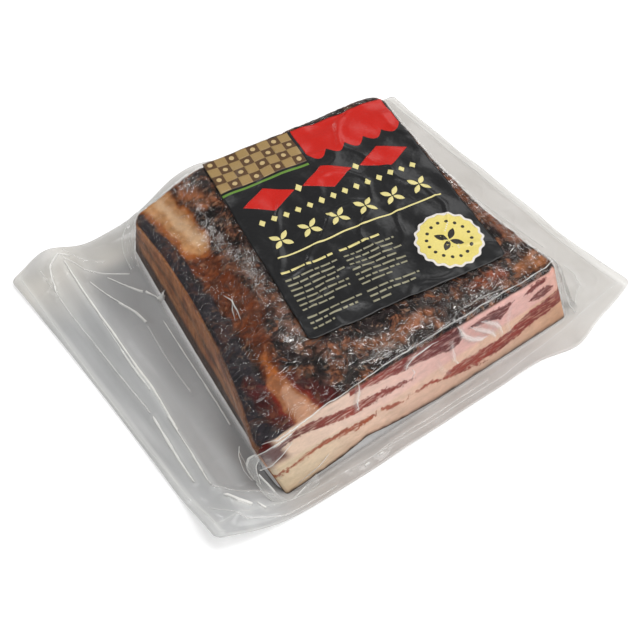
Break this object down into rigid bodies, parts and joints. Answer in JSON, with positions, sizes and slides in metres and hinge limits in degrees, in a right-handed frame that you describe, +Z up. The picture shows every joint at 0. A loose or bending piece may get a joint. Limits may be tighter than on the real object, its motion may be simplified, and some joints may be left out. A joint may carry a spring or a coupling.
{
  "type": "bacon pack",
  "caption": "Vacuum-sealed slab of smoked dry bacon in a clear film pouch with a wide flat margin, and a plain dark label on its top.",
  "frame": {"origin": "on the table, under the middle of the pack's bounding box", "axes": "+X along the pouch, towards its narrow margin; -Y is the side that the slab's cut face looks to; +Z up"},
  "size_m": [0.2718, 0.2226, 0.047],
  "materials": {
    "clear_film": "clear glossy film, two layers welded together round the slab",
    "label_print": "glossy black print with a red band and cream bars",
    "bacon": "stands in for smoked bacon: dark dried crust, pink fat and red lean, moist under the film"
  },
  "bodies": {
    "root": {"sealed_bag": "clear_film", "label": "label_print"}
  },
  "joints": []
}
